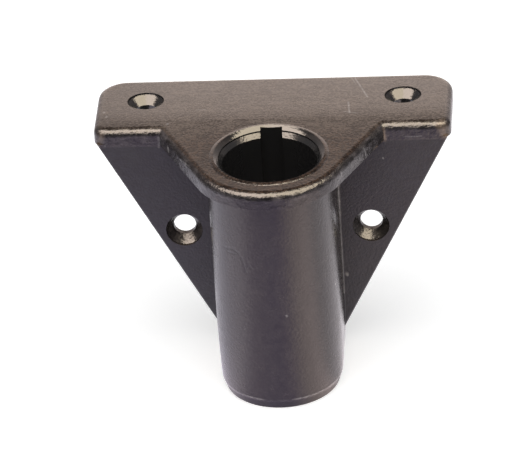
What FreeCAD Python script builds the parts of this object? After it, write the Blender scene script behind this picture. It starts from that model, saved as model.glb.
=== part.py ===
import FreeCAD, Part
import math
import os

V = FreeCAD.Vector

# Oarlock socket: one moulding with a flange that screws down on the gunwale, a triangular
# plate that screws to the boat's side, a Y-shaped head and a tube for the oarlock's shank.
# The tube is round outboard, and its sides run straight back into the plate.
# Millimetres, +Z up, +Y inboard. It is drawn with Z from the head's top face, and moved at the end
# so that the origin is on the bore's axis, level with the seat under the flange's front edge.

# Top flange, which slopes down inboard so that the tube leans outboard on a level gunwale
bracket_width = 90.0
flange_length = 28.0
flange_slope = 4.2
flange_bend_start = 3.2
flange_bend_radius = 75.0
slab_thickness = 4.5
rear_corner_radius = 7.5
front_corner_radius = 3.2
top_edge_round = 2.0

# Y-shaped head round the bore
bore_to_flange = 13.2
ring_radius = 19.4
root_half_width = 28.3
root_corner_round = 0.4

# Triangular plate under the flange
plate_thickness = 4.3
plate_top_half_width = 44.0
plate_side_slope = 27.2
plate_ledge_height = 0.6
plate_edge_round = 0.5
seat_corner_round = 1.0

# Tube, straight above and tapered below
tube_radius = 15.8
tube_length = 66.0
tube_straight_length = 43.0
tube_end_radius = 15.35
tube_lead_height = 2.7
tube_lead_depth = 0.9
web_corner_round = 0.4

# Bore, the keyway on its inboard side, and the bead round its mouth
bore_radius = 11.9
keyway_width = 5.5
keyway_depth = 1.35
mouth_cone_radius = 12.75
mouth_cone_top = 1.0
mouth_cone_bottom = 2.2
mouth_lip_bottom = 0.55
mouth_lip_bulge = 0.06
bead_height = 0.35
bead_crest_radius = 13.95
bead_foot_radius = 15.0

# Countersunk screw holes
flange_hole_spacing = 65.2
flange_hole_setback = 15.7
plate_hole_spacing = 47.4
plate_hole_drop = 29.65
screw_hole_radius = 2.85
countersink_radius = 4.65
countersink_angle = 82.0
countersink_land = 0.8

cut_margin = 1.0
edge_match = 0.001

flange_front = bore_to_flange
plate_back = flange_front + plate_thickness
slope_angle = math.radians(flange_slope)
bend_start = flange_front + flange_bend_start


def face_from(edges):
    return Part.Face(Part.Wire(edges))


def bend_point(offset, angle):
    """Point of the flange's bend, offset below the top surface, at an angle into the bend."""
    radius = flange_bend_radius - offset
    return V(0, bend_start + radius * math.sin(angle), radius * math.cos(angle) - flange_bend_radius)


def top_of_flange(distance):
    """Point on the flange's top surface at a distance from its front edge, past the bend."""
    end = bend_point(0, slope_angle)
    rest = distance - flange_bend_start - flange_bend_radius * slope_angle
    return end + V(0, math.cos(slope_angle), -math.sin(slope_angle)) * rest


def upright_edges(slab, half, y):
    """The two corner edges of a slab at a distance y along it."""
    return [e for e in slab.Edges
            if abs(abs(e.CenterOfMass.x) - half) < edge_match and abs(e.CenterOfMass.y - y) < edge_match]


def flange():
    """Side profile of the bent flange, drawn across the width, with its corners cut round."""
    rear_top = top_of_flange(flange_length)
    rear_low = rear_top + V(0, -math.sin(slope_angle), -math.cos(slope_angle)) * slab_thickness
    front_top = V(0, flange_front, 0)
    front_low = V(0, flange_front, -slab_thickness)
    edges = [
        Part.makeLine(front_low, front_top),
        Part.makeLine(front_top, bend_point(0, 0)),
        Part.Arc(bend_point(0, 0), bend_point(0, slope_angle / 2), bend_point(0, slope_angle)).toShape(),
        Part.makeLine(bend_point(0, slope_angle), rear_top),
        Part.makeLine(rear_top, rear_low),
        Part.makeLine(rear_low, bend_point(slab_thickness, slope_angle)),
        Part.Arc(bend_point(slab_thickness, slope_angle), bend_point(slab_thickness, slope_angle / 2),
                 bend_point(slab_thickness, 0)).toShape(),
        Part.makeLine(bend_point(slab_thickness, 0), front_low),
    ]
    half = bracket_width / 2
    profile = face_from(edges)
    profile.translate(V(-half, 0, 0))
    slab = profile.extrude(V(bracket_width, 0, 0))
    rear_middle = (rear_top + rear_low) * 0.5
    front = upright_edges(slab, half, flange_front)
    slab = slab.makeFillet(front_corner_radius, front)
    return slab.makeFillet(rear_corner_radius, upright_edges(slab, half, rear_middle.y))


def mirrored(point):
    return V(-point.x, point.y, point.z)


def head():
    """Y-shaped slab: ring round the bore and two straight arms that leave it as tangents."""
    root = V(root_half_width, flange_front, 0)
    angle = math.atan2(root.y, root.x) - math.acos(ring_radius / root.Length)
    touch = V(math.cos(angle), math.sin(angle), 0) * ring_radius
    inboard = root + V(0, flange_bend_start / 2, 0)
    edges = [
        Part.makeLine(root, touch),
        Part.Arc(touch, V(0, -ring_radius, 0), mirrored(touch)).toShape(),
        Part.makeLine(mirrored(touch), mirrored(root)),
        Part.makeLine(mirrored(root), mirrored(inboard)),
        Part.makeLine(mirrored(inboard), inboard),
        Part.makeLine(inboard, root),
    ]
    return face_from(edges).extrude(V(0, 0, -slab_thickness))


def half_width_at(z):
    """Half width of the triangular plate at a height."""
    drop = -slab_thickness - z
    return plate_top_half_width - drop * math.tan(math.radians(plate_side_slope))


def plate():
    """Triangular side plate. Its corners are ledges beside the flange's round ones, and a neck
    runs up into the flange."""
    neck = bracket_width / 2 - front_corner_radius
    ledge = plate_ledge_height - slab_thickness
    upper = half_width_at(ledge)
    lower = half_width_at(-tube_length)
    right = [V(neck, flange_front, -slab_thickness / 2), V(neck, flange_front, ledge),
             V(upper, flange_front, ledge), V(lower, flange_front, -tube_length)]
    points = right + [mirrored(p) for p in reversed(right)]
    body = Part.Face(Part.makePolygon(points + points[:1])).extrude(V(0, plate_thickness, 0))
    sides = [e for e in body.Edges
             if abs(abs(e.CenterOfMass.x) - (upper + lower) / 2) < edge_match
             and abs(e.CenterOfMass.y - flange_front) < edge_match]
    return body.makeFillet(plate_edge_round, sides)


def tube():
    """Tube, solid until the bore is cut, with its sides carried straight back to the plate's back."""
    lead_top = -tube_length + tube_lead_height
    taper_mid = (lead_top - tube_straight_length) / 2
    bulge = (tube_radius - tube_end_radius) / 4
    taper = Part.Arc(V(tube_radius, 0, -tube_straight_length),
                     V((tube_radius + tube_end_radius) / 2 + bulge, 0, taper_mid),
                     V(tube_end_radius, 0, lead_top))
    end = tube_end_radius - tube_lead_depth
    half = face_from([
        Part.makeLine(V(0, 0, 0), V(tube_radius, 0, 0)),
        Part.makeLine(V(tube_radius, 0, 0), V(tube_radius, 0, -tube_straight_length)),
        taper.toShape(),
        Part.makeLine(V(tube_end_radius, 0, lead_top), V(end, 0, -tube_length)),
        Part.makeLine(V(end, 0, -tube_length), V(0, 0, -tube_length)),
        Part.makeLine(V(0, 0, -tube_length), V(0, 0, 0)),
    ])
    back = half.extrude(V(0, plate_back, 0))
    other = back.mirror(V(0, 0, 0), V(1, 0, 0))
    return half.revolve(V(0, 0, 0), V(0, 0, 1), 360).fuse([back, other]).removeSplitter()


def web_corners(body):
    """Upright inside corners between the tube's flat sides and the plate's front face."""
    narrow, wide = sorted((tube_radius, tube_end_radius))
    found = []
    for e in body.Edges:
        box = e.BoundBox
        side = abs(e.CenterOfMass.x)
        in_plate_face = max(abs(box.YMin - flange_front), abs(box.YMax - flange_front)) < edge_match
        if in_plate_face and narrow - edge_match < side < wide + edge_match:
            found.append(e)
    return found


def bead():
    """Low ring round the mouth of the bore, with a rounded outer flank."""
    chord = V(bead_foot_radius - bead_crest_radius, 0, -bead_height)
    flank_radius = (chord.x ** 2 + bead_height ** 2) / (2 * bead_height)
    half_turn = math.asin(chord.x / flank_radius) / 2
    crest = V(bead_crest_radius, 0, bead_height)
    foot = crest + chord
    mid = crest + V(math.sin(half_turn), 0, math.cos(half_turn) - 1) * flank_radius
    inner = V(bore_radius, 0, bead_height)
    inner_low = V(bore_radius, 0, -slab_thickness / 2)
    foot_low = V(foot.x, 0, inner_low.z)
    edges = [
        Part.makeLine(inner, crest),
        Part.Arc(crest, mid, foot).toShape(),
        Part.makeLine(foot, foot_low),
        Part.makeLine(foot_low, inner_low),
        Part.makeLine(inner_low, inner),
    ]
    return face_from(edges).revolve(V(0, 0, 0), V(0, 0, 1), 360)


def bore():
    """Cutter for the bore: rounded lip, short upright step and cone down to the bore."""
    lip_low = V(mouth_cone_radius, 0, -mouth_lip_bottom)
    crest = V(bead_crest_radius, 0, bead_height)
    chord = crest - lip_low
    outward = V(-chord.z, 0, chord.x) / chord.Length
    lip_mid = (crest + lip_low) * 0.5 + outward * mouth_lip_bulge
    top = V(0, 0, bead_height + cut_margin)
    bottom = V(0, 0, -tube_length - cut_margin)
    edges = [
        Part.makeLine(top, V(crest.x, 0, top.z)),
        Part.makeLine(V(crest.x, 0, top.z), crest),
        Part.Arc(crest, lip_mid, lip_low).toShape(),
        Part.makeLine(lip_low, V(mouth_cone_radius, 0, -mouth_cone_top)),
        Part.makeLine(V(mouth_cone_radius, 0, -mouth_cone_top), V(bore_radius, 0, -mouth_cone_bottom)),
        Part.makeLine(V(bore_radius, 0, -mouth_cone_bottom), V(bore_radius, 0, bottom.z)),
        Part.makeLine(V(bore_radius, 0, bottom.z), bottom),
        Part.makeLine(bottom, top),
    ]
    return face_from(edges).revolve(V(0, 0, 0), V(0, 0, 1), 360)


def keyway():
    """Cutter for the groove down the inboard side of the bore."""
    height = tube_length + 2 * cut_margin
    corner = V(-keyway_width / 2, 0, -tube_length - cut_margin)
    return Part.makeBox(keyway_width, bore_radius + keyway_depth, height, corner)


def countersunk_hole(depth):
    """Screw hole cutter that enters at the origin and goes down."""
    slope = math.tan(math.radians(countersink_angle / 2))
    cone_depth = (countersink_radius - screw_hole_radius) / slope
    points = [
        V(0, 0, cut_margin),
        V(countersink_radius, 0, cut_margin),
        V(countersink_radius, 0, -countersink_land),
        V(screw_hole_radius, 0, -countersink_land - cone_depth),
        V(screw_hole_radius, 0, -depth - cut_margin),
        V(0, 0, -depth - cut_margin),
    ]
    profile = Part.Face(Part.makePolygon(points + points[:1]))
    return profile.revolve(V(0, 0, 0), V(0, 0, 1), 360)


def screw_holes():
    """All four hole cutters: two down through the flange, two inboard through the plate."""
    entry = top_of_flange(flange_hole_setback)
    holes = []
    for side in (-1, 1):
        down = countersunk_hole(slab_thickness)
        down.translate(V(side * flange_hole_spacing / 2, entry.y, entry.z))
        holes.append(down)
        across = countersunk_hole(plate_thickness)
        across.rotate(V(0, 0, 0), V(1, 0, 0), 90)
        across.translate(V(side * plate_hole_spacing / 2, flange_front, -plate_hole_drop))
        holes.append(across)
    return holes


def front_top_edges(slab):
    """Level top edges of the flange's front, the arms and the ring; the round runs on from them."""
    found = []
    for e in slab.Edges:
        box = e.BoundBox
        level = max(abs(box.ZMin), abs(box.ZMax)) < edge_match
        if level and box.YMax < flange_front + edge_match:
            found.append(e)
    return found


def seat_corner():
    """Round filling of the inside corner between the plate's back and the flange's underside."""
    radius = seat_corner_round
    low = V(0, plate_back, -slab_thickness - radius)
    high = low + V(0, radius, radius)
    mid = low + V(0, radius * (1 - math.cos(math.pi / 4)), radius * math.sin(math.pi / 4))
    inside = V(0, -plate_thickness / 2, 0)
    buried = V(0, 0, slab_thickness / 2)
    edges = [
        Part.Arc(low, mid, high).toShape(),
        Part.makeLine(high, high + buried),
        Part.makeLine(high + buried, V(0, low.y, high.z) + buried + inside),
        Part.makeLine(V(0, low.y, high.z) + buried + inside, low + inside),
        Part.makeLine(low + inside, low),
    ]
    half = half_width_at(low.z)
    profile = face_from(edges)
    profile.translate(V(-half, 0, 0))
    return profile.extrude(V(2 * half, 0, 0))


def socket():
    slab = flange().fuse(head()).removeSplitter()
    slab = slab.makeFillet(root_corner_round, upright_edges(slab, root_half_width, flange_front))
    slab = slab.makeFillet(top_edge_round, front_top_edges(slab))
    lower = plate().fuse(tube()).removeSplitter()
    lower = lower.makeFillet(web_corner_round, web_corners(lower))
    body = slab.fuse([lower, seat_corner(), bead()]).removeSplitter()
    return body.cut([bore(), keyway()] + screw_holes())


body = socket()
body.translate(V(0, 0, slab_thickness))
os.makedirs("parts", exist_ok=True)
body.exportStep("parts/oarlock_socket.step")
print("solids", len(body.Solids), "valid", body.isValid(), "volume", round(body.Volume), "mm3")
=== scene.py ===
import bpy
import math
from mathutils import Matrix, Vector


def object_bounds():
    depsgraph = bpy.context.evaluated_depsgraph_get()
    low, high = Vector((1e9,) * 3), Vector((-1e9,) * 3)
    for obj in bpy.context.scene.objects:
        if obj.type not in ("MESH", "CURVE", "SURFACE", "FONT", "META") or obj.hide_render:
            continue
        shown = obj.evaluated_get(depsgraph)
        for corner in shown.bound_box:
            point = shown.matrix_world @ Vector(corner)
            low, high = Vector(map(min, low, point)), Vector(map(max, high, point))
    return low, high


# An oarlock socket moulded in dark glass-filled nylon, standing on its tube on a pale floor.
# Metres, in the part's own frame: +Z up along the bore, -Y outboard, towards the camera.

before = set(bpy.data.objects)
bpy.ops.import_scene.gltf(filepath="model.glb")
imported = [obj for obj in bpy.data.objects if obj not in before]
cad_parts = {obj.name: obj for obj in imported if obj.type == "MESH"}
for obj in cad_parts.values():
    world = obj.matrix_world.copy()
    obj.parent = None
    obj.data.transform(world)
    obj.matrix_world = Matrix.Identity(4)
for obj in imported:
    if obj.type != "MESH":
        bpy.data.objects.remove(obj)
cadLow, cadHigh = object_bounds()
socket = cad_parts["oarlock_socket"]
print("scene: frame loaded,", len(socket.data.polygons), "facets")

mm = 0.001


# Small helpers for node trees. A value is a number, a colour or another node's output.

def addNode(tree, kind, **settings):
    node = tree.nodes.new(kind)
    for name, value in settings.items():
        setattr(node, name, value)
    return node


# Gives a value to an input, by a link where it is another node's output.
def feed(tree, value, target):
    if isinstance(value, bpy.types.NodeSocket):
        tree.links.new(value, target)
    elif target.type == "RGBA":
        target.default_value = (*value, 1)
    else:
        target.default_value = value


def maths(tree, operation, *values, clamp=False):
    node = addNode(tree, "ShaderNodeMath", operation=operation, use_clamp=clamp)
    for slot, value in enumerate(values):
        feed(tree, value, node.inputs[slot])
    return node.outputs[0]


def vectorMaths(tree, operation, *values):
    node = addNode(tree, "ShaderNodeVectorMath", operation=operation)
    for slot, value in enumerate(values):
        feed(tree, value, node.inputs[slot])
    return node.outputs["Value" if operation in ("DOT_PRODUCT", "DISTANCE") else "Vector"]


# The three parts of a vector.
def parted(tree, vector):
    node = addNode(tree, "ShaderNodeSeparateXYZ")
    feed(tree, vector, node.inputs[0])
    return tuple(node.outputs)


# A colour ramp from (position, colour) stops.
def ramp(tree, source, stops):
    node = addNode(tree, "ShaderNodeValToRGB")
    elements = node.color_ramp.elements
    while len(elements) < len(stops):
        elements.new(0.5)
    for element, (place, colour) in zip(elements, stops):
        element.position = place
        element.color = (*colour, 1)
    feed(tree, source, node.inputs["Fac"])
    return node.outputs["Color"]


# 0 below the lower limit, 1 above the upper one and a smooth step between.
def span(tree, source, limits):
    node = addNode(tree, "ShaderNodeMapRange", interpolation_type="SMOOTHSTEP")
    node.inputs["From Min"].default_value, node.inputs["From Max"].default_value = limits
    feed(tree, source, node.inputs["Value"])
    return node.outputs["Result"]


# The same for a distance, with limits in millimetres.
def spanMm(tree, source, limits):
    return span(tree, source, [limit * mm for limit in limits])


# 0 near an upright axis and 1 away from it, with the axis and the two radii in millimetres.
def beyond(tree, x, y, axis, radii):
    offX, offY = (maths(tree, "SUBTRACT", part, middle * mm) for part, middle in zip((x, y), axis))
    squares = [maths(tree, "MULTIPLY", off, off) for off in (offX, offY)]
    return spanMm(tree, maths(tree, "SQRT", maths(tree, "ADD", *squares)), radii)


def blendColour(tree, factor, first, second, mode="MIX"):
    node = addNode(tree, "ShaderNodeMix", data_type="RGBA", blend_type=mode)
    for slot, value in zip((0, 6, 7), (factor, first, second)):    # the inputs a colour mix uses
        feed(tree, value, node.inputs[slot])
    return node.outputs[2]


def mixShaders(tree, factor, first, second):
    node = addNode(tree, "ShaderNodeMixShader")
    for slot, value in enumerate((factor, first, second)):
        feed(tree, value, node.inputs[slot])
    return node.outputs[0]


def useGroup(tree, group, **values):
    node = addNode(tree, "ShaderNodeGroup", node_tree=group)
    for name, value in values.items():
        feed(tree, value, node.inputs[name])
    return node.outputs


# A new node group with its input and output nodes. Each socket is a name and a kind.
def newGroup(name, inputs, outputs):
    tree = bpy.data.node_groups.new(name, "ShaderNodeTree")
    for side, sockets in (("INPUT", inputs), ("OUTPUT", outputs)):
        for label, kind in sockets:
            tree.interface.new_socket(label, in_out=side, socket_type="NodeSocket" + kind)
    return tree, addNode(tree, "NodeGroupInput").outputs, addNode(tree, "NodeGroupOutput").inputs


# Camera, at the photograph's viewing angle

cameraLook = {
    "azimuth": 4.61,               # degrees, 0 looks along +Y
    "elevation": 31.63,
    "roll": -3.80,
    "target": (-6.75, 53.87, -52.37),    # millimetres
    "distance": 1821.1,
    "focalPixels": 7000.0,         # focal length in pixels of a photograph 529 wide
    "photoWidth": 529.0,
    "sensorWidth": 36.0,
    "clip": (0.01, 50.0),          # metres
}


def makeCamera(look):
    data = bpy.data.cameras.new("photoCamera")
    camera = bpy.data.objects.new("photoCamera", data)
    bpy.context.scene.collection.objects.link(camera)
    azimuth, elevation, roll = (math.radians(look[k]) for k in ("azimuth", "elevation", "roll"))
    back = Vector((math.sin(azimuth) * math.cos(elevation), -math.cos(azimuth) * math.cos(elevation),
                   math.sin(elevation)))
    right = Vector((math.cos(azimuth), math.sin(azimuth), 0))
    up = back.cross(right)
    turnedRight = right * math.cos(roll) + up * math.sin(roll)
    turnedUp = up * math.cos(roll) - right * math.sin(roll)
    place = Vector(look["target"]) * mm + back * look["distance"] * mm
    camera.matrix_world = Matrix((
        (turnedRight.x, turnedUp.x, back.x, place.x),
        (turnedRight.y, turnedUp.y, back.y, place.y),
        (turnedRight.z, turnedUp.z, back.z, place.z),
        (0, 0, 0, 1)))
    data.sensor_fit = "HORIZONTAL"
    data.sensor_width = look["sensorWidth"]
    data.lens = look["focalPixels"] * data.sensor_width / look["photoWidth"]
    data.clip_start, data.clip_end = look["clip"]
    data.dof.use_dof = False
    bpy.context.scene.camera = camera


makeCamera(cameraLook)
print("scene: camera placed")


# Floor, world and lamps

stageLook = {
    "floorHalf": 3.0,              # metres
    "floorShade": 0.80,
    "floorGlow": 0.55,             # part of the white that a shadow doesn't darken
    "skyShade": 0.25,              # light of the plain room on diffuse surfaces
    "backdrop": 0.80,              # what the camera sees beyond the floor
    # What the gloss reflects of the room below and above the horizon: azimuth in degrees from
    # the camera's side of the object, positive to its right, and the colour there
    "lowRoom": [(-180, (0.70, 0.69, 0.72)), (-144, (0.72, 0.70, 0.76)), (-100, (0.90, 0.85, 0.97)),
                (-60, (1.13, 1.01, 1.15)), (-34, (0.68, 0.57, 0.73)), (0, (0.55, 0.46, 0.65)),
                (14, (0.59, 0.48, 0.66)), (38, (1.20, 0.99, 0.97)), (60, (1.45, 1.20, 1.18)),
                (80, (0.88, 0.80, 0.83)), (116, (0.98, 0.91, 0.95)), (180, (0.70, 0.69, 0.72))],
    "highRoom": [(-180, (1.22, 1.00, 0.89)), (-166, (1.10, 0.92, 0.84)), (-150, (0.50, 0.42, 0.39)),
                 (-115, (0.18, 0.16, 0.16)), (-60, (0.22, 0.21, 0.22)), (0, (0.12, 0.11, 0.12)),
                 (60, (0.22, 0.21, 0.22)), (115, (0.20, 0.18, 0.18)), (150, (0.50, 0.42, 0.39)),
                 (166, (1.10, 0.92, 0.84)), (180, (1.22, 1.00, 0.89))],
    # Upward parts of a direction: where the low room gives way to the high one, where the room
    # darkens, and where it darkens again
    "horizon": (-0.26, -0.02),
    "ceiling": (0.42, 0.54),
    "ceilingShade": (0.36, 0.28, 0.25),
    "crown": (0.56, 0.72),
    "crownShade": (0.10, 0.07, 0.06),
    "roomLevel": 1.40,
}

# Metres from the object's middle, +across to the camera's right and +along away from it
lampLook = {
    "leftPanel": {"across": (-1.28, 0.0), "along": (-1.22, 0.06), "height": 1.0, "radiance": 10.0,
                  "tint": (1.0, 0.84, 0.71), "gloss": True},
    "rightPanel": {"across": (0.0, 1.40), "along": (-1.22, 0.14), "height": 1.0, "radiance": 9.0,
                   "tint": (1.0, 0.85, 0.64), "gloss": True},
    "fill": {"across": (-0.8, 0.8), "along": (-1.2, 0.4), "height": 1.5, "radiance": 2.6,
             "tint": (1.0, 1.0, 1.0), "gloss": False},
}


# Group that gives the room's colour in a direction, for rays that left a glossy surface.
def roomGroup(look):
    tree, given, result = newGroup("room", [("Direction", "Vector")], [("Colour", "Color")])
    x, y, z = parted(tree, given["Direction"])
    angle = maths(tree, "ARCTAN2", x, maths(tree, "MULTIPLY", y, -1.0))
    turn = maths(tree, "MULTIPLY_ADD", angle, 0.5 / math.pi, 0.5)
    low, high = (ramp(tree, turn, [((a + 180) / 360, c) for a, c in look[k]])
                 for k in ("lowRoom", "highRoom"))
    walls = blendColour(tree, span(tree, z, look["horizon"]), low, high)
    upper = blendColour(tree, span(tree, z, look["crown"]), look["ceilingShade"], look["crownShade"])
    whole = blendColour(tree, span(tree, z, look["ceiling"]), walls, upper)
    level = (look["roomLevel"],) * 3
    feed(tree, blendColour(tree, 1.0, whole, level, mode="MULTIPLY"), result["Colour"])
    return tree


# A pale floor that takes the shadow. Glossy rays that meet it see the room's colour in the
# direction from the object's middle instead.
def makeFloor(look, room):
    half, level = look["floorHalf"], cadLow.z
    corners = [(-half, -half, level), (half, -half, level), (half, half, level), (-half, half, level)]
    mesh = bpy.data.meshes.new("floor")
    mesh.from_pydata(corners, [], [(0, 1, 2, 3)])
    floor = bpy.data.objects.new("floor", mesh)
    bpy.context.scene.collection.objects.link(floor)
    material = bpy.data.materials.new("paleFloor")
    material.use_nodes = True
    tree = material.node_tree
    tree.nodes.clear()
    ray = addNode(tree, "ShaderNodeLightPath").outputs
    lit = addNode(tree, "ShaderNodeBsdfDiffuse")
    feed(tree, (look["floorShade"],) * 3, lit.inputs["Color"])
    glow = addNode(tree, "ShaderNodeEmission")
    strength = maths(tree, "MULTIPLY", ray["Is Camera Ray"], look["floorGlow"])
    feed(tree, strength, glow.inputs["Strength"])
    both = addNode(tree, "ShaderNodeAddShader")
    feed(tree, lit.outputs[0], both.inputs[0])
    feed(tree, glow.outputs[0], both.inputs[1])
    place = addNode(tree, "ShaderNodeTexCoord").outputs["Object"]
    middle = (0, 0, (cadLow.z + cadHigh.z) / 2)
    direction = vectorMaths(tree, "NORMALIZE", vectorMaths(tree, "SUBTRACT", place, middle))
    glossy = addNode(tree, "ShaderNodeEmission")
    feed(tree, useGroup(tree, room, Direction=direction)["Colour"], glossy.inputs["Color"])
    surface = mixShaders(tree, ray["Is Glossy Ray"], both.outputs[0], glossy.outputs[0])
    feed(tree, surface, addNode(tree, "ShaderNodeOutputMaterial").inputs["Surface"])
    mesh.materials.append(material)


# Plain light for diffuse rays, the lit room for reflections, and a pale backdrop for the camera.
def makeWorld(look, room):
    world = bpy.data.worlds.new("room")
    bpy.context.scene.world = world
    world.use_nodes = True
    tree = world.node_tree
    tree.nodes.clear()
    ray = addNode(tree, "ShaderNodeLightPath").outputs
    direction = addNode(tree, "ShaderNodeTexCoord").outputs["Generated"]
    glossy, plain, backdrop = (addNode(tree, "ShaderNodeBackground") for _ in range(3))
    feed(tree, useGroup(tree, room, Direction=direction)["Colour"], glossy.inputs["Color"])
    feed(tree, (look["skyShade"],) * 3, plain.inputs["Color"])
    feed(tree, (look["backdrop"],) * 3, backdrop.inputs["Color"])
    lit = mixShaders(tree, ray["Is Glossy Ray"], plain.outputs[0], glossy.outputs[0])
    clear = maths(tree, "MAXIMUM", ray["Is Camera Ray"], ray["Is Transmission Ray"])
    seen = mixShaders(tree, clear, lit, backdrop.outputs[0])
    feed(tree, seen, addNode(tree, "ShaderNodeOutputWorld").inputs["Surface"])


# A level rectangular lamp that shines down from a height over the object's middle. The two
# panels are seen by gloss alone, so the light on a plain colour stays level.
def makeLamp(name, look):
    data = bpy.data.lights.new(name, "AREA")
    data.shape = "RECTANGLE"
    (left, right), (near, far) = look["across"], look["along"]
    data.size, data.size_y = right - left, far - near
    data.color = look["tint"]
    data.energy = look["radiance"] * math.pi * data.size * data.size_y    # watts for that radiance
    lamp = bpy.data.objects.new(name, data)
    bpy.context.scene.collection.objects.link(lamp)
    middle = (cadLow + cadHigh) / 2
    lamp.location = middle + Vector(((left + right) / 2, (near + far) / 2, look["height"]))
    lamp.visible_camera = False
    lamp.visible_glossy = look["gloss"]
    lamp.visible_diffuse = not look["gloss"]


room = roomGroup(stageLook)
makeFloor(stageLook, room)
makeWorld(stageLook, room)
for lampName, look in lampLook.items():
    makeLamp(lampName, look)
bpy.context.scene.view_settings.view_transform = "Standard"
print("scene: floor, world and lamps made")
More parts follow.
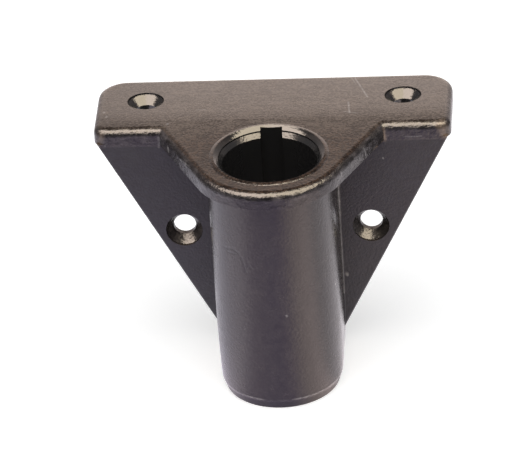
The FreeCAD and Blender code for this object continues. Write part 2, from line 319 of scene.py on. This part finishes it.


# Moulded nylon: a grainy skin with a cloudy bloom over it, the marks of handling, and painted shade,
# sheen and highlights

# Colours are linear, and lengths, heights and places are in millimetres. Where one look gives
# way to another, a pair holds the two limits of a smooth step.
nylonLook = {
    "dark": (0.024, 0.020, 0.020),       # tube, underside and back
    "pale": (0.052, 0.044, 0.042),
    "headShadedDark": (0.006, 0.003, 0.002),   # head's top, painted much darker than the flange's: painted shade over its mottle
    "headShadedPale": (0.056, 0.032, 0.020),
    "topDark": (0.026, 0.018, 0.013),    # flange's top
    "topPale": (0.101, 0.077, 0.061),
    "headEdge": (4.0, 17.0),             # where one gives way to the other, inboard of the bore
    "topTurn": (0.80, 0.97),             # upward part of the normal, from side to top
    "topMix": (0.46, 0.34, 0.24),        # shares of grain, bloom and drag marks in the top's mottle
    "mottleSpan": (0.29, 0.74),          # values of that mottle that become 0 and 1
    "rearGlow": (16.0, 42.0),            # where a painted sheen pales the top towards its rear edge
    "rearSheen": (0.050, 0.046, 0.044),
    "leftDim": (-46.0, -18.0),           # where the top darkens towards its left end
    "leftShade": 0.60,
    "plateShadedDark": (0.004, 0.005, 0.008),  # side plate's front face, painted darker and bluer: painted shade and a painted cool reflection over its mottle
    "plateShadedPale": (0.014, 0.016, 0.026),
    "plateRough": 0.24,                  # roughness added there and on the tube's foot
    "plateEdge": (12.4, 13.0),           # where the face starts, and ends behind and above
    "plateBack": (13.25, 13.45),
    "plateTop": (-0.6, 0.2),
    "wallDark": (0.004, 0.003, 0.004),   # walls round the head and under the flange's front
    "wallPale": (0.110, 0.094, 0.096),
    "wallFoot": (-0.2, 0.3),             # heights between which they begin
    "footDark": (0.008, 0.009, 0.007),   # rim at the tube's open end
    "footTop": (-59.6, -59.2),           # heights between which it ends
    "recessDark": (0.024, 0.023, 0.023), # bore and the flange's countersinks
    "recessSmooth": 0.11,                # roughness taken away there
    "boreEdge": (13.6, 14.2),            # radii between which the bore's look ends
    "holeAt": (32.6, 28.9),              # axis of a countersink: to either side, and inboard
    "holeEdge": (4.4, 4.8),              # radii between which its look ends
    "deepEdge": (-27.0, -3.0),           # heights between which the bore turns dull
    "deepRough": 0.35,                   # roughness added under them
    "patterns": {                        # size, or one along each axis, and detail of each noise
        "Grain": (0.62, 2.0),
        "Flecks": (1.5, 3.0),
        "Clouds": (3.6, 4.0),
        "Drift": (17.0, 2.0),
        "Streaks": ((2.6, 2.6, 0.7), 3.0),    # on the walls
        "Drag": ((4.5, 1.1, 1.1), 3.0),       # on the top
    },
    "patternSpan": (0.28, 0.72),         # noise values that become 0 and 1
    "bloomDrift": (0.6, 0.5),            # the bloom's level, and what the drift adds to it
    "roughness": (0.19, 0.29),           # from one cloud to the next
    "shine": 0.65,                       # specular level
    "grainHeight": 0.016,
    "sideGrain": 1.3,                    # how much higher it is on surfaces that don't face up
    "wallRelief": 3.2,                   # height of the walls' lumps, times the grain's
    "grooveDepth": 4.5,                  # times the grain's height
    "grooveDark": 0.95,                  # how far a groove takes the skin to the recesses' colour
    "chalkAndGlint": (0.46, 0.43, 0.42),         # scratches, and painted highlights on flash lines and the right arm
    "glintTan": (0.30, 0.21, 0.15),        # painted tan highlights on the flange's front corners and the right arm
    "ragged": (0.35, 0.7),               # a mark's level, and what the flecks add to it
    # Pale edge over the foot: faint all round, and chipped between some distances to the side
    "endHeight": -58.8,
    "endWidth": 0.36,
    "endFaint": 0.22,
    "endChips": ((-9.6, -4.0), (3.4, 14.4)),
    "endFade": 0.8,
    # Marks: start, end, width, and how strong each one is
    "scratchesAndGlints": [
        ((20.1, 39.0, 3.05), (23.7, 28.0, 3.85), 0.34, 0.55),       # flange's top
        ((18.8, 40.2, 2.95), (20.5, 35.5, 3.3), 0.26, 0.30),
        ((18.9, 25.4, 4.05), (19.5, 19.3, 4.45), 0.34, 0.60),
        ((18.0, 20.2, 4.4), (21.6, 19.2, 4.45), 0.26, 0.40),
        ((-19.2, 23.1, 4.2), (-17.2, 23.2, 4.2), 0.32, 0.35),
        ((-42.8, 22.8, 4.2), (-42.7, 23.2, 4.2), 0.40, 0.50),
        ((-42.0, 20.3, 4.4), (-41.9, 20.8, 4.4), 0.45, 0.55),
        ((-41.6, 17.5, 4.5), (-41.4, 17.9, 4.5), 0.35, 0.45),
        ((-26.4, 16.0, 4.5), (-26.2, 16.1, 4.5), 0.50, 1.00),
        ((27.6, 13.2, -5.2), (27.7, 13.2, -5.5), 0.30, 0.70),       # plate
        ((16.9, 13.2, -39.3), (16.9, 13.2, -39.7), 0.60, 1.00),
        ((-42.2, 13.2, 0.2), (-42.0, 13.2, 0.5), 0.35, 0.45),       # flange's front
        ((32.9, 13.2, 0.67), (37.5, 13.2, 0.83), 0.24, 0.40),
        ((-25.9, 8.3, 2.2), (-25.7, 8.1, 1.3), 0.50, 1.00),         # arms and ring
        ((-22.7, 2.0, 2.6), (-18.9, -5.5, 4.0), 0.35, 0.50),
        ((18.1, -7.2, 3.9), (18.4, -6.6, 1.5), 0.30, 0.60),
        # Painted highlights on the right arm: the bright line at its crease and a lit patch beside it
        ((23.6, 3.8, 3.6), (23.9, 4.6, 0.3), 0.36, 0.70),
        ((20.7, -1.9, 1.9), (23.0, 2.7, 1.0), 1.10, 0.30),
        ((17.2, -9.1, 0.4), (17.9, -7.5, 1.7), 0.70, 0.40),
        ((3.0, -15.5, -33.4), (3.1, -15.5, -33.6), 0.40, 0.90),     # tube
        ((15.0, -4.9, -31.0), (15.1, -4.8, -31.3), 0.45, 0.90),
        ((-7.7, -13.8, -38.1), (-7.8, -13.7, -38.3), 0.25, 0.60),
        ((-14.0, -8.0, -17.0), (-14.4, -6.9, -22.4), 1.00, 0.14),
        ((16.1, 13.1, -0.5), (15.9, 13.1, -22.0), 0.55, 0.90),      # corner beside the tube: painted highlight on its flash line
        ((15.9, 13.1, -22.0), (15.8, 13.1, -45.0), 0.45, 0.50),
        ((-28.6, 13.1, 2.4), (-28.6, 13.1, -0.6), 0.35, 0.45),      # root of the left arm: painted highlight on its flash
    ],
    # Painted highlights: tan glints on the flange's front corners and along the right arm's root and
    # lower edge
    "glints": [
        ((42.8, 13.3, 4.0), (43.8, 13.9, 1.2), 2.2, 0.90),          # flange's front corners
        ((-43.4, 13.5, 2.8), (-43.9, 13.9, 0.8), 1.6, 0.60),
        ((28.3, 12.9, 3.6), (28.4, 13.0, -0.2), 0.60, 1.00),        # right arm
        ((25.8, 8.2, 0.3), (26.5, 9.6, 0.3), 0.40, 0.80),
        ((27.6, 11.9, 0.1), (28.3, 13.2, -0.3), 0.45, 0.80),
    ],
    "grooves": [                                                    # upper left of the tube
        ((-11.9, -10.4, -15.9), (-9.5, -12.6, -15.1), 0.55, 0.9),
        ((-9.5, -12.6, -15.1), (-8.0, -13.6, -15.9), 0.55, 0.9),
        ((-10.9, -11.4, -16.7), (-9.0, -13.0, -16.3), 0.50, 0.7),
        ((-7.4, -14.0, -16.9), (-6.5, -14.4, -20.8), 0.60, 0.9),
        ((-5.6, -14.8, -18.7), (-6.7, -14.3, -21.0), 0.50, 0.7),
        ((-6.2, -14.5, -17.2), (-5.2, -14.9, -19.6), 0.50, 0.6),
    ],
}


# Group of the skin's patterns, each 0 to 1.
def skinGroup(look):
    outputs = [(name, "Float") for name in look["patterns"]]
    tree, given, result = newGroup("mouldedSkin", [("Place", "Vector")], outputs)
    for name, (size, detail) in look["patterns"].items():
        noise = addNode(tree, "ShaderNodeTexNoise")
        noise.inputs["Detail"].default_value = detail
        place = given["Place"]
        if isinstance(size, tuple):
            place = vectorMaths(tree, "DIVIDE", place, size)
            size = 1.0
        noise.inputs["Scale"].default_value = 1 / (size * mm)
        feed(tree, place, noise.inputs["Vector"])
        feed(tree, span(tree, noise.outputs["Fac"], look["patternSpan"]), result[name])
    return tree


# Group of one straight mark: Strength on the line from Start along Run, and 0 beyond Width
# from it. Scratches, painted highlights and grooves are made of it.
def straightMarkGroup():
    inputs = [("Place", "Vector"), ("Start", "Vector"), ("Run", "Vector"), ("Width", "Float"),
              ("Strength", "Float")]
    tree, given, result = newGroup("straightMark", inputs, [("Mask", "Float")])
    run = given["Run"]
    # Nearest point on the line: Start + Run * t, with t = (Place - Start).Run / Run.Run kept in 0 to 1
    away = vectorMaths(tree, "SUBTRACT", given["Place"], given["Start"])
    along = vectorMaths(tree, "DOT_PRODUCT", away, run)
    t = maths(tree, "DIVIDE", along, vectorMaths(tree, "DOT_PRODUCT", run, run), clamp=True)
    reach = addNode(tree, "ShaderNodeVectorMath", operation="SCALE")
    feed(tree, run, reach.inputs[0])
    feed(tree, t, reach.inputs["Scale"])
    gap = vectorMaths(tree, "DISTANCE", away, reach.outputs[0])
    near = maths(tree, "SUBTRACT", 1.0, maths(tree, "DIVIDE", gap, given["Width"]), clamp=True)
    feed(tree, maths(tree, "MULTIPLY", near, given["Strength"]), result["Mask"])
    return tree


# All the marks of a list together, as one mask.
def marksMask(tree, group, place, marks):
    whole = None
    for start, end, width, strength in marks:
        first, last = Vector(start) * mm, Vector(end) * mm
        mask = useGroup(tree, group, Place=place, Start=first, Run=last - first, Width=width * mm,
                        Strength=strength)["Mask"]
        whole = mask if whole is None else maths(tree, "MAXIMUM", whole, mask)
    return whole


# Where each kind of surface lies, as masks.
def surfaceMasks(tree, look, place, normal):
    x, y, z = parted(tree, place)
    offBore = beyond(tree, x, y, (0, 0), look["boreEdge"])
    offHoles = beyond(tree, maths(tree, "ABSOLUTE", x), y, look["holeAt"], look["holeEdge"])
    behind, above = spanMm(tree, y, look["plateBack"]), spanMm(tree, z, look["plateTop"])
    plate = maths(tree, "SUBTRACT", spanMm(tree, y, look["plateEdge"]),
                  maths(tree, "MAXIMUM", behind, above), clamp=True)
    return {
        "upward": span(tree, parted(tree, normal)[2], look["topTurn"]),
        "offRecess": maths(tree, "MINIMUM", offBore, offHoles),
        "shallow": spanMm(tree, z, look["deepEdge"]),
        "plate": maths(tree, "MULTIPLY", plate, offBore),
        "wall": spanMm(tree, z, look["wallFoot"]),
        "foot": maths(tree, "SUBTRACT", 1.0, spanMm(tree, z, look["footTop"])),
        "headToFlange": spanMm(tree, y, look["headEdge"]),
        "rear": spanMm(tree, y, look["rearGlow"]),
        "offLeft": spanMm(tree, x, look["leftDim"]),
    }


def sideColour(tree, look, skin, bloom, masks):
    side = blendColour(tree, bloom, look["dark"], look["pale"])
    # The side plate: painted shade and a painted cool reflection over its mottle
    plate = blendColour(tree, bloom, look["plateShadedDark"], look["plateShadedPale"])
    side = blendColour(tree, masks["plate"], side, plate)
    side = blendColour(tree, masks["foot"], side, look["footDark"])
    streaks = maths(tree, "MULTIPLY", skin["Streaks"], bloom)
    walls = blendColour(tree, streaks, look["wallDark"], look["wallPale"])
    return blendColour(tree, masks["wall"], side, walls)


def topColour(tree, look, skin, bloom, masks):
    patterns = (skin["Grain"], bloom, skin["Drag"])
    grainy, cloudy, dragged = (maths(tree, "MULTIPLY", pattern, share)
                               for pattern, share in zip(patterns, look["topMix"]))
    mottle = maths(tree, "ADD", maths(tree, "ADD", grainy, cloudy), dragged)
    speckled = span(tree, mottle, look["mottleSpan"])
    # The head's top: its mottle, with painted shade that keeps it darker than the flange
    head = blendColour(tree, speckled, look["headShadedDark"], look["headShadedPale"])
    flange = blendColour(tree, speckled, look["topDark"], look["topPale"])
    top = blendColour(tree, masks["headToFlange"], head, flange)
    # Painted sheen: the top paler towards its rear edge
    withRearSheen = blendColour(tree, 1.0, top, look["rearSheen"], mode="ADD")
    top = blendColour(tree, masks["rear"], top, withRearSheen)
    dimmed = blendColour(tree, 1.0, top, (look["leftShade"],) * 3, mode="MULTIPLY")
    return blendColour(tree, masks["offLeft"], dimmed, top)


# The pale edge at the tube's end, as a mask.
def endMask(tree, look, skin, place, ragged):
    x, _, z = parted(tree, place)
    off = maths(tree, "ABSOLUTE", maths(tree, "SUBTRACT", z, look["endHeight"] * mm))
    line = maths(tree, "SUBTRACT", 1.0, maths(tree, "DIVIDE", off, look["endWidth"] * mm), clamp=True)
    fade = look["endFade"]
    chips = maths(tree, "MULTIPLY", skin["Clouds"], look["endFaint"])
    for ends in look["endChips"]:
        rise, fall = (spanMm(tree, x, (end - fade, end + fade)) for end in ends)
        between = maths(tree, "SUBTRACT", rise, fall, clamp=True)
        chips = maths(tree, "MAXIMUM", chips, maths(tree, "MULTIPLY", between, ragged))
    return maths(tree, "MULTIPLY", line, chips)


def skinRoughness(tree, look, skin, masks):
    low, high = look["roughness"]
    rough = maths(tree, "ADD", maths(tree, "MULTIPLY", skin["Clouds"], high - low), low)
    dull = maths(tree, "MAXIMUM", masks["plate"], masks["foot"])
    added = maths(tree, "MULTIPLY", dull, look["plateRough"])
    # In a recess: smoother near its mouth and rougher deep down
    inRecess = maths(tree, "SUBTRACT", 1.0, masks["offRecess"])
    deep = look["deepRough"]
    change = maths(tree, "MULTIPLY", masks["shallow"], -look["recessSmooth"] - deep)
    change = maths(tree, "MULTIPLY", inRecess, maths(tree, "ADD", change, deep))
    return maths(tree, "ADD", rough, maths(tree, "ADD", added, change))


# Height of the skin, in times the grain's height.
def skinRelief(tree, look, skin, masks, grooves):
    upward, offRecess = masks["upward"], masks["offRecess"]
    sideways = maths(tree, "SUBTRACT", offRecess, upward, clamp=True)
    height = maths(tree, "ADD", maths(tree, "MULTIPLY", sideways, look["sideGrain"]), 1.0)
    grain = maths(tree, "MULTIPLY", skin["Grain"], height)
    onWall = maths(tree, "SUBTRACT", masks["wall"], upward, clamp=True)
    onWall = maths(tree, "MULTIPLY", onWall, offRecess)
    lumps = maths(tree, "MULTIPLY", maths(tree, "MULTIPLY", onWall, skin["Flecks"]), look["wallRelief"])
    return maths(tree, "SUBTRACT", maths(tree, "ADD", grain, lumps),
                 maths(tree, "MULTIPLY", grooves, look["grooveDepth"]))


def makeNylon(look):
    material = bpy.data.materials.new("mouldedNylon")
    material.use_nodes = True
    tree = material.node_tree
    tree.nodes.clear()
    where = addNode(tree, "ShaderNodeTexCoord").outputs
    place = where["Object"]
    skin = useGroup(tree, skinGroup(look), Place=place)
    mean = maths(tree, "MULTIPLY", maths(tree, "ADD", skin["Flecks"], skin["Clouds"]), 0.5)
    level, added = look["bloomDrift"]
    drift = maths(tree, "ADD", maths(tree, "MULTIPLY", skin["Drift"], added), level)
    bloom = maths(tree, "MULTIPLY", mean, drift, clamp=True)
    level, added = look["ragged"]
    ragged = maths(tree, "ADD", maths(tree, "MULTIPLY", skin["Flecks"], added), level)

    masks = surfaceMasks(tree, look, place, where["Normal"])
    side = sideColour(tree, look, skin, bloom, masks)
    top = topColour(tree, look, skin, bloom, masks)
    body = blendColour(tree, masks["upward"], side, top)
    body = blendColour(tree, masks["offRecess"], look["recessDark"], body)

    straightMark = straightMarkGroup()
    scratchesAndGlints, glints, grooves = (marksMask(tree, straightMark, place, look[kind])
                                for kind in ("scratchesAndGlints", "glints", "grooves"))
    chalkedAndGlinting = maths(tree, "MAXIMUM", maths(tree, "MULTIPLY", scratchesAndGlints, ragged),
                      endMask(tree, look, skin, place, ragged))
    grooved = maths(tree, "MULTIPLY", grooves, look["grooveDark"])
    body = blendColour(tree, grooved, body, look["recessDark"])
    # Painted tan highlights
    body = blendColour(tree, maths(tree, "MULTIPLY", glints, ragged), body, look["glintTan"])
    # Chalky scratches and the pale foot edge, with painted highlights among the marks
    body = blendColour(tree, chalkedAndGlinting, body, look["chalkAndGlint"])

    bump = addNode(tree, "ShaderNodeBump")
    bump.inputs["Strength"].default_value = 1.0
    bump.inputs["Distance"].default_value = look["grainHeight"] * mm
    feed(tree, skinRelief(tree, look, skin, masks, grooves), bump.inputs["Height"])
    shader = addNode(tree, "ShaderNodeBsdfPrincipled")
    shader.inputs["Specular IOR Level"].default_value = look["shine"]
    feed(tree, body, shader.inputs["Base Color"])
    feed(tree, skinRoughness(tree, look, skin, masks), shader.inputs["Roughness"])
    feed(tree, bump.outputs["Normal"], shader.inputs["Normal"])
    feed(tree, shader.outputs[0], addNode(tree, "ShaderNodeOutputMaterial").inputs["Surface"])
    return material


socket.data.materials.clear()
socket.data.materials.append(makeNylon(nylonLook))
print("scene: nylon applied")
